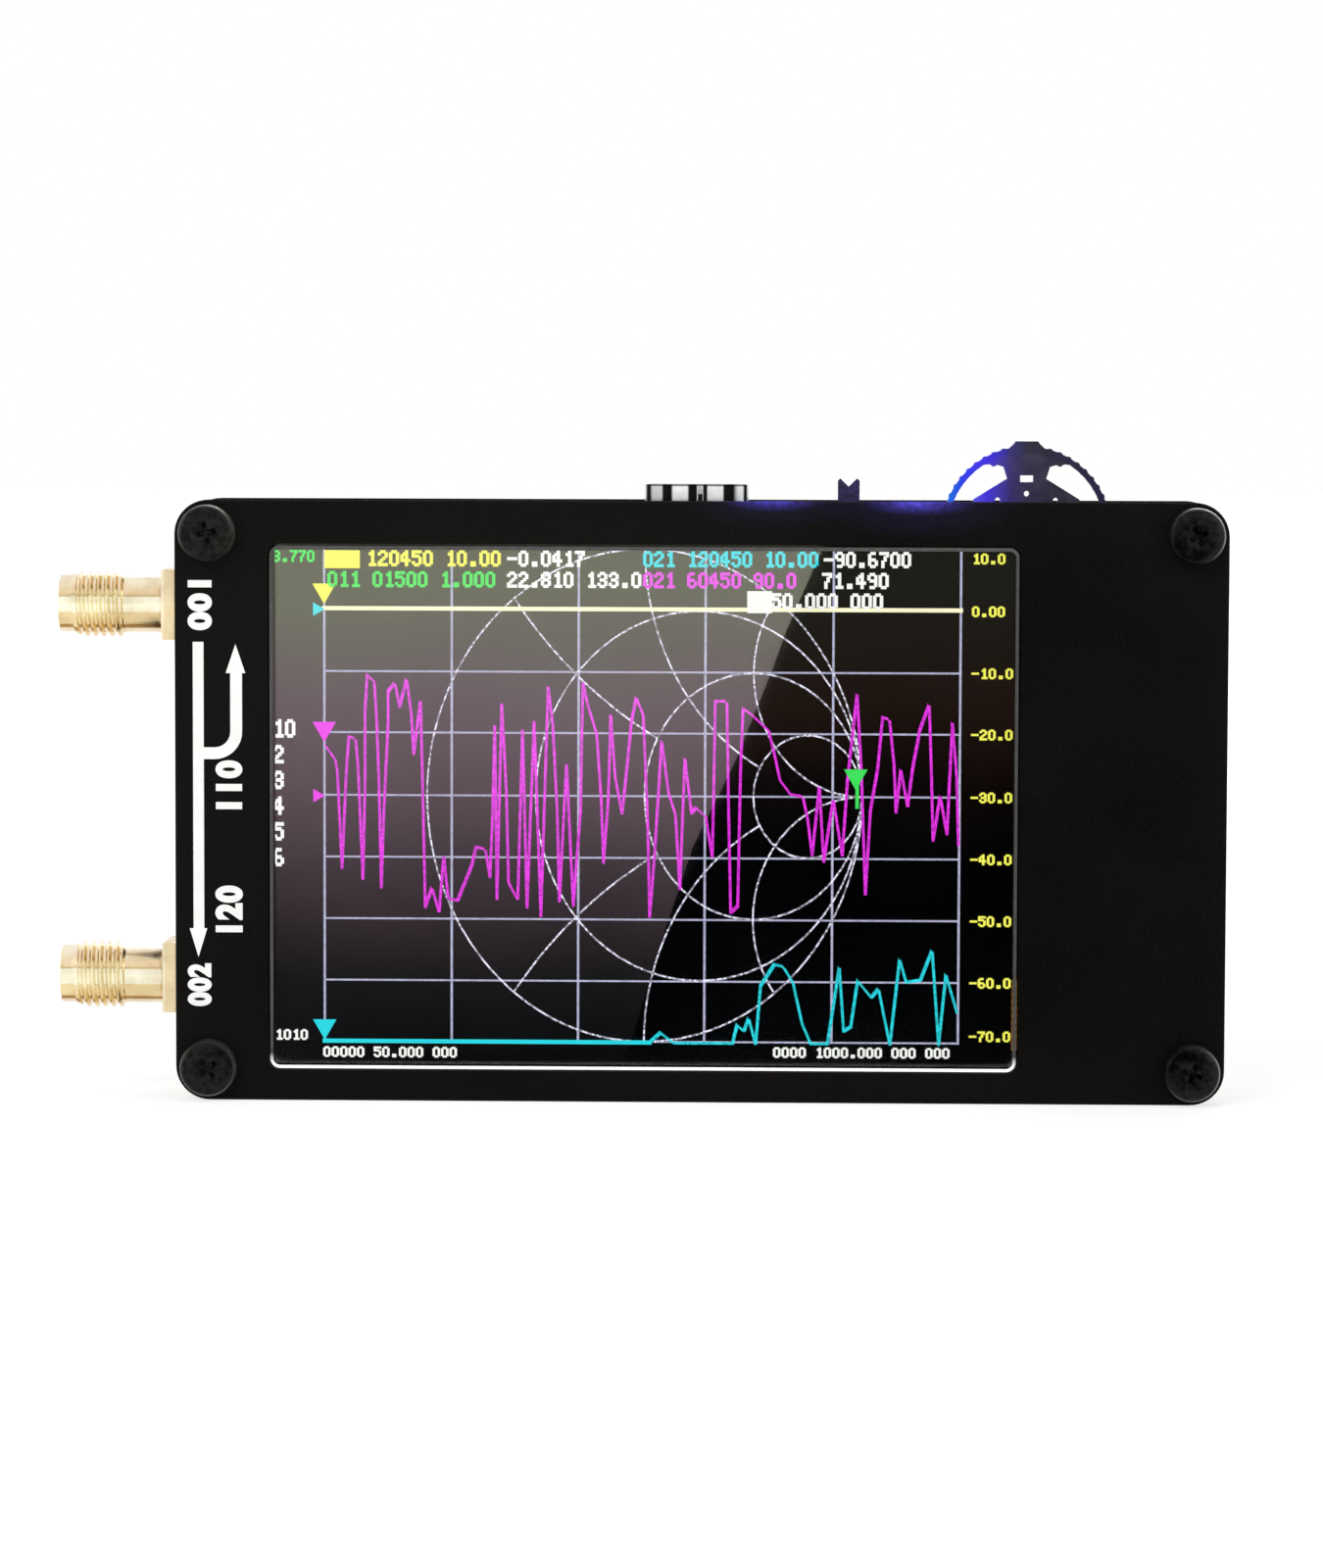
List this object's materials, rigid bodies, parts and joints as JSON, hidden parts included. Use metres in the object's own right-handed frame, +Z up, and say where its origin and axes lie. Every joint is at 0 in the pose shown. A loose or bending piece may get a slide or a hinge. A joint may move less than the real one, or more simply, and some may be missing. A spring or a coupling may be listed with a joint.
{
  "type": "antenna analyzer",
  "caption": "Hand-held radio antenna analyzer: flat two-panel case with a lit screen, threaded coaxial ports, charging socket, slide switch and rocking jog wheel.",
  "frame": {"origin": "middle of the box's footprint, at the level of the two panels' bottom edges", "axes": "+X to the user's right across the screen, +Y away from the user through the case, +Z up towards the jog wheel"},
  "size_m": [0.0994, 0.0144, 0.0561],
  "materials": {
    "black_panel": "satin black solder mask on glass-fibre sheet",
    "circuit_board": "black solder mask, gold pads",
    "black_screw": "black oxide steel",
    "plated_brass": "turned brass",
    "black_nylon": "moulded nylon",
    "gold_plate": "gold plated, turned",
    "white_insulator": "fluoropolymer",
    "screen_glass": "polished, chamfered edge",
    "display_glass": "display, lit",
    "white_frame": "backlight frame",
    "black_tape": "double-sided foam tape",
    "amber_ribbon": "polyimide ribbon",
    "bright_shell": "stamped, plated",
    "black_plastic": "moulded",
    "pressed_steel": "stamped sheet",
    "blue_light": "lit, clear resin",
    "chip_body": "moulded epoxy",
    "tinned_copper": "tinned",
    "ceramic_body": "fired ceramic",
    "dark_ferrite": "pressed ferrite",
    "battery_foil": "laminated pouch",
    "red_wire": "soft sleeve",
    "black_wire": "soft sleeve",
    "cream_plastic": "moulded"
  },
  "bodies": {
    "case": {"front_panel": "black_panel", "back_panel": "black_panel", "main_board": "circuit_board", "front_screws": "black_screw", "back_screws": "black_screw", "front_spacers": "black_nylon", "rear_standoffs": "plated_brass", "screen_tape": "black_tape", "lcd_backlight": "white_frame", "lcd_glass": "display_glass", "touch_tape": "black_tape", "touch_glass": "screen_glass", "lcd_ribbon": "amber_ribbon", "touch_ribbon": "amber_ribbon", "port_1_shell": "gold_plate", "port_1_insulator": "white_insulator", "port_1_contact": "gold_plate", "port_2_shell": "gold_plate", "port_2_insulator": "white_insulator", "port_2_contact": "gold_plate", "usb_shell": "bright_shell", "usb_tongue": "black_plastic", "usb_contacts": "gold_plate", "power_switch_case": "pressed_steel", "power_switch_pins": "tinned_copper", "jog_base": "black_plastic", "jog_cover": "pressed_steel", "jog_spring": "pressed_steel", "jog_pins": "tinned_copper", "status_leds": "blue_light", "rf_shield_frame": "pressed_steel", "rf_shield_lid": "pressed_steel", "mixer_chips": "chip_body", "codec_chip": "chip_body", "clock_chip": "chip_body", "clock_crystal": "tinned_copper", "ceramic_capacitors": "ceramic_body", "resistors": "chip_body", "controller_chip": "chip_body", "controller_pins": "tinned_copper", "controller_crystal": "tinned_copper", "charger_chip": "chip_body", "charger_coil": "dark_ferrite", "regulator_chip": "chip_body", "battery_tape": "black_tape", "battery_cell": "battery_foil", "battery_board": "circuit_board", "battery_lead_red": "red_wire", "battery_lead_black": "black_wire", "battery_socket": "cream_plastic", "battery_plug": "cream_plastic"},
    "power_slider": {"power_switch_knob": "black_plastic"},
    "jog_carrier": {"jog_carriage": "black_plastic"},
    "jog_lever": {"jog_wheel": "black_plastic"}
  },
  "joints": [
    {"name": "power_slide", "type": "slide", "parent": "case", "child": "power_slider", "axis": [1, 0, 0], "range_m": [-0.002, 0]},
    {"name": "jog_push", "type": "slide", "parent": "case", "child": "jog_carrier", "axis": [0, 0, -1], "range_m": [0, 0.0005], "stiffness_N_per_m": 1000, "springref_m": -0.0003},
    {"name": "jog_turn", "type": "hinge", "parent": "jog_carrier", "child": "jog_lever", "pos_m": [0.03293, 0.00194, 0.04906], "axis": [0, 1, 0], "range_deg": [-18, 18], "stiffness_Nm_per_rad": 0.01}
  ]
}
